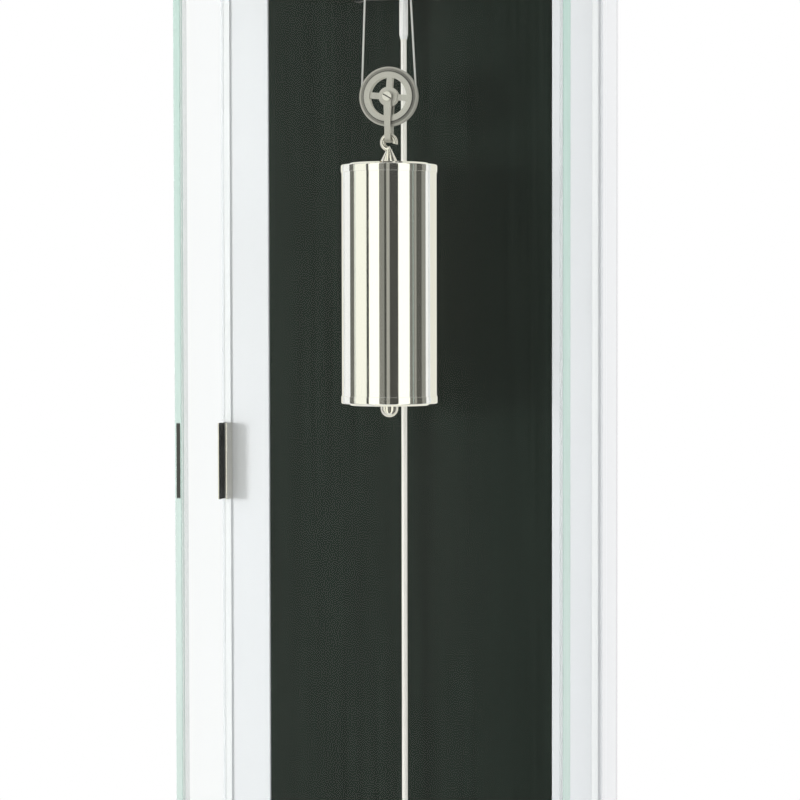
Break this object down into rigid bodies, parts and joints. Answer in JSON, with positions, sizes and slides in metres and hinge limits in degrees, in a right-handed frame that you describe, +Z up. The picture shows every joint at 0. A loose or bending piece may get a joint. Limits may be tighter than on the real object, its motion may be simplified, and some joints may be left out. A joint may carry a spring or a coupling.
{
  "type": "regulator clock",
  "caption": "Weight-driven wall regulator with a glass hood, seconds pendulum, pulley and cylinder weight on a flat white case with a black centre panel.",
  "frame": {"origin": "centre of the hanging hole, in the plane of the wall", "axes": "+X to the right seen from the front, +Y into the wall, +Z up"},
  "size_m": [0.3095, 0.202, 1.32],
  "materials": {
    "white_lacquer": "white gloss lacquer on board",
    "black_veneer": "black satin veneer",
    "backing": "plain board",
    "steel": "satin steel",
    "polished_steel": "polished nickel",
    "satin_nickel": "satin nickel",
    "dark_plate": "black satin plating",
    "brass": "lacquered brass",
    "arbor_steel": "polished steel",
    "dial_white": "silvered, matt",
    "dial_ring": "satin",
    "hand_blue": "dark blued",
    "glass": "clear float glass",
    "bead": "clear bonding bead",
    "black_pad": "matt",
    "rubber": "matt",
    "magnet": "plain",
    "line": "stranded line",
    "rod_white": "polished",
    "core": "plain"
  },
  "bodies": {
    "case": {"case_side_left": "white_lacquer", "case_side_right": "white_lacquer", "case_top_rail": "white_lacquer", "case_bottom_rail": "white_lacquer", "front_board": "white_lacquer", "black_panel": "black_veneer", "back_board": "backing", "hanging_plate": "steel", "wall_buffers": "rubber", "case_hinges": "steel", "catch_magnet": "magnet", "base_plate": "dark_plate", "back_plate": "dark_plate", "front_plate": "brass", "pillars": "brass", "dial_plate": "dial_white", "chapter_ring": "dial_ring", "suspension_cock": "steel", "beat_scale": "dial_ring", "line_left": "line", "line_right": "line"},
    "hood": {"hood_front_pane": "glass", "hood_left_pane": "glass", "hood_right_pane": "glass", "hood_top_pane": "glass", "hood_bottom_pane": "glass", "hood_beads": "bead", "hood_hinges": "steel", "catch_clip": "polished_steel", "clip_pad": "black_pad"},
    "centre": {"centre_arbor": "arbor_steel", "centre_wheel": "brass", "minute_hand": "hand_blue"},
    "third": {"third_arbor": "brass"},
    "escape": {"escape_arbor": "arbor_steel", "escape_wheel": "brass", "second_hand": "hand_blue"},
    "great": {"great_wheel": "brass"},
    "winding_barrel": {"barrel": "brass", "line_winding": "line"},
    "minute_work": {"minute_wheel": "brass"},
    "hour_work": {"hour_wheel": "brass", "hour_hand": "hand_blue"},
    "anchor_set": {"anchor": "arbor_steel", "crutch": "steel"},
    "pendulum": {"suspension_spring": "steel", "pendulum_rod": "rod_white", "rod_sleeve": "rod_white"},
    "bob_body": {"bob": "polished_steel"},
    "nut_body": {"rating_nut": "brass"},
    "block": {"stirrup": "satin_nickel", "line_bend": "line"},
    "pulley_wheel": {"pulley": "satin_nickel"},
    "drive_weight": {"weight_hook": "polished_steel", "weight_shell": "polished_steel", "weight_top_cap": "polished_steel", "weight_bottom_cap": "polished_steel", "weight_core": "core", "dome_nut": "polished_steel"}
  },
  "joints": [
    {"name": "hood_swing", "type": "hinge", "parent": "case", "child": "hood", "pos_m": [0.1545, -0.0795, -0.61], "axis": [0, 0, 1], "range_deg": [0, 100]},
    {"name": "centre_turn", "type": "hinge", "parent": "case", "child": "centre", "pos_m": [0, -0.139, -0.10611], "axis": [0, 1, 0], "continuous": true},
    {"name": "third_turn", "type": "hinge", "parent": "case", "child": "third", "pos_m": [-0.0199, -0.139, -0.08406], "axis": [0, 1, 0], "continuous": true},
    {"name": "escape_turn", "type": "hinge", "parent": "case", "child": "escape", "pos_m": [0, -0.139, -0.06811], "axis": [0, 1, 0], "continuous": true},
    {"name": "great_turn", "type": "hinge", "parent": "case", "child": "great", "pos_m": [0, -0.139, -0.15291], "axis": [0, 1, 0], "continuous": true},
    {"name": "minute_work_turn", "type": "hinge", "parent": "case", "child": "minute_work", "pos_m": [0.018, -0.139, -0.10611], "axis": [0, 1, 0], "continuous": true},
    {"name": "hour_turn", "type": "hinge", "parent": "case", "child": "hour_work", "pos_m": [0, -0.139, -0.10611], "axis": [0, 1, 0], "continuous": true},
    {"name": "weight_drop", "type": "slide", "parent": "case", "child": "block", "axis": [0, 0, 1], "range_m": [-0.53, 0], "deforming": ["line_left", "line_right"]},
    {"name": "barrel_turn", "type": "hinge", "parent": "case", "child": "winding_barrel", "pos_m": [0, -0.139, -0.15291], "axis": [0, 1, 0], "range_deg": [-4267, 5]},
    {"name": "pulley_turn", "type": "hinge", "parent": "block", "child": "pulley_wheel", "pos_m": [0, -0.139, -0.3537], "axis": [0, 1, 0], "range_deg": [-1451, 5]},
    {"name": "weight_sway", "type": "hinge", "parent": "block", "child": "drive_weight", "pos_m": [0, -0.139, -0.3864], "axis": [0, 1, 0], "range_deg": [-3, 3]},
    {"name": "pendulum_swing", "type": "hinge", "parent": "case", "child": "pendulum", "pos_m": [0, -0.091, -0.037], "axis": [0, 1, 0], "range_deg": [-1.5, 1.5]},
    {"name": "anchor_swing", "type": "hinge", "parent": "case", "child": "anchor_set", "pos_m": [0, -0.111, -0.037], "axis": [0, 1, 0], "range_deg": [-1.6, 1.6]},
    {"name": "bob_rate", "type": "slide", "parent": "pendulum", "child": "bob_body", "axis": [0, 0, 1], "range_m": [-0.003, 0.003]},
    {"name": "nut_turn", "type": "hinge", "parent": "bob_body", "child": "nut_body", "pos_m": [0, -0.091, -1.126], "axis": [0, 0, 1], "range_deg": [-2200, 2200]}
  ],
  "couplings": [
    {"joint": "third_turn", "follows": "centre_turn", "ratio": -8},
    {"joint": "escape_turn", "follows": "centre_turn", "ratio": 60},
    {"joint": "great_turn", "follows": "centre_turn", "ratio": -0.083333},
    {"joint": "minute_work_turn", "follows": "centre_turn", "ratio": -0.33333},
    {"joint": "hour_turn", "follows": "centre_turn", "ratio": 0.083333},
    {"joint": "barrel_turn", "follows": "weight_drop", "rad_per_m": 140.35},
    {"joint": "pulley_turn", "follows": "weight_drop", "rad_per_m": 47.619},
    {"joint": "anchor_swing", "follows": "pendulum_swing", "ratio": 1},
    {"joint": "nut_turn", "follows": "bob_rate", "rad_per_m": 12566}
  ]
}
